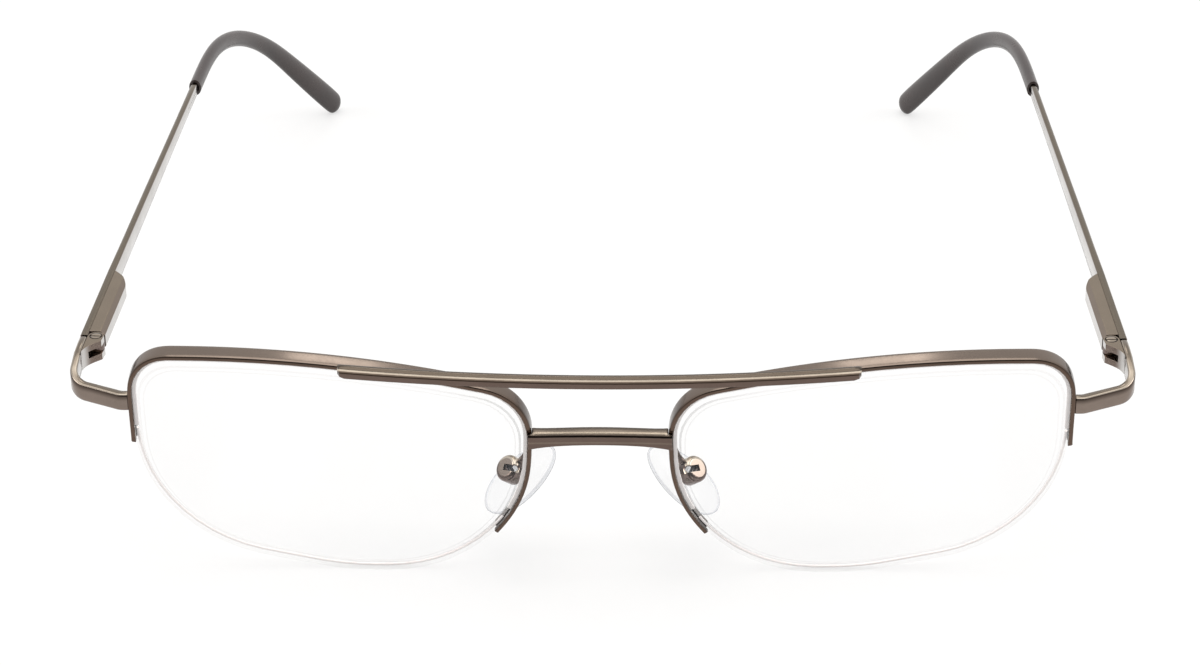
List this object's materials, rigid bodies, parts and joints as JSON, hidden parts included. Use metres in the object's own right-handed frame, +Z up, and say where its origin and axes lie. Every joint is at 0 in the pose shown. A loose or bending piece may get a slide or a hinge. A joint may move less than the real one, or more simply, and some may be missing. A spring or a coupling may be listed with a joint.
{
  "type": "half-rim reading glasses",
  "caption": "Half-rim reading glasses with a brow bar, clear lenses held by nylon cords, adjustable nose pads and slim metal temples on spring hinges.",
  "frame": {"origin": "under the middle of the open glasses, on the surface they stand on", "axes": "+X to the wearer's left, +Y back along the open temples, +Z up; the front faces -Y"},
  "size_m": [0.1378, 0.1504, 0.0334],
  "materials": {
    "front_metal": "polished gunmetal brown plating",
    "hinge_metal": "plated, satin",
    "screw_steel": "bright",
    "tip_plastic": "glossy dark grey-brown",
    "clear_lens": "clear, polished",
    "clear_plastic": "clear"
  },
  "bodies": {
    "front": {"brow_bar": "front_metal", "lower_bridge": "front_metal", "left_rim": "front_metal", "left_lens": "clear_lens", "left_nylon_cord": "clear_plastic", "left_rim_liner": "clear_plastic", "left_endpiece": "front_metal", "left_front_hinge": "front_metal", "left_hinge_screw": "screw_steel", "left_pad_arm": "hinge_metal", "left_pad_box": "hinge_metal", "left_pad_screw": "screw_steel", "right_rim": "front_metal", "right_lens": "clear_lens", "right_nylon_cord": "clear_plastic", "right_rim_liner": "clear_plastic", "right_endpiece": "front_metal", "right_front_hinge": "front_metal", "right_hinge_screw": "screw_steel", "right_pad_arm": "hinge_metal", "right_pad_box": "hinge_metal", "right_pad_screw": "screw_steel"},
    "left_knuckle": {"left_shuttle": "hinge_metal"},
    "left_temple": {"left_spring_housing": "front_metal", "left_spring_bushing": "screw_steel", "left_hinge_spring": "screw_steel", "left_temple_bar": "front_metal", "left_temple_tip": "tip_plastic"},
    "left_pad": {"left_nose_pad": "clear_plastic"},
    "right_knuckle": {"right_shuttle": "hinge_metal"},
    "right_temple": {"right_spring_housing": "front_metal", "right_spring_bushing": "screw_steel", "right_hinge_spring": "screw_steel", "right_temple_bar": "front_metal", "right_temple_tip": "tip_plastic"},
    "right_pad": {"right_nose_pad": "clear_plastic"}
  },
  "joints": [
    {"name": "left_temple_fold", "type": "hinge", "parent": "front", "child": "left_knuckle", "pos_m": [0.06642, -0.05731, 0.02653], "axis": [0, -0.0122, 0.9999], "range_deg": [-5, 86]},
    {"name": "left_spring_slide", "type": "slide", "parent": "left_knuckle", "child": "left_temple", "axis": [-0.0558, 0.9984, 0.0122], "range_m": [0, 0.0008], "stiffness_N_per_m": 3000, "springref_m": -0.002, "deforming": ["left_hinge_spring"]},
    {"name": "left_pad_rock", "type": "hinge", "parent": "front", "child": "left_pad", "pos_m": [0.0119, -0.0652, 0.0125], "axis": [0.3473, 0.866, 0.3597], "range_deg": [-8, 8]},
    {"name": "right_temple_fold", "type": "hinge", "parent": "front", "child": "right_knuckle", "pos_m": [-0.06642, -0.05731, 0.02653], "axis": [0, 0.0122, -0.9999], "range_deg": [-5, 76]},
    {"name": "right_spring_slide", "type": "slide", "parent": "right_knuckle", "child": "right_temple", "axis": [0.0558, 0.9984, 0.0122], "range_m": [0, 0.0008], "stiffness_N_per_m": 3000, "springref_m": -0.002, "deforming": ["right_hinge_spring"]},
    {"name": "right_pad_rock", "type": "hinge", "parent": "front", "child": "right_pad", "pos_m": [-0.0119, -0.0652, 0.0125], "axis": [-0.3473, 0.866, 0.3597], "range_deg": [-8, 8]}
  ]
}
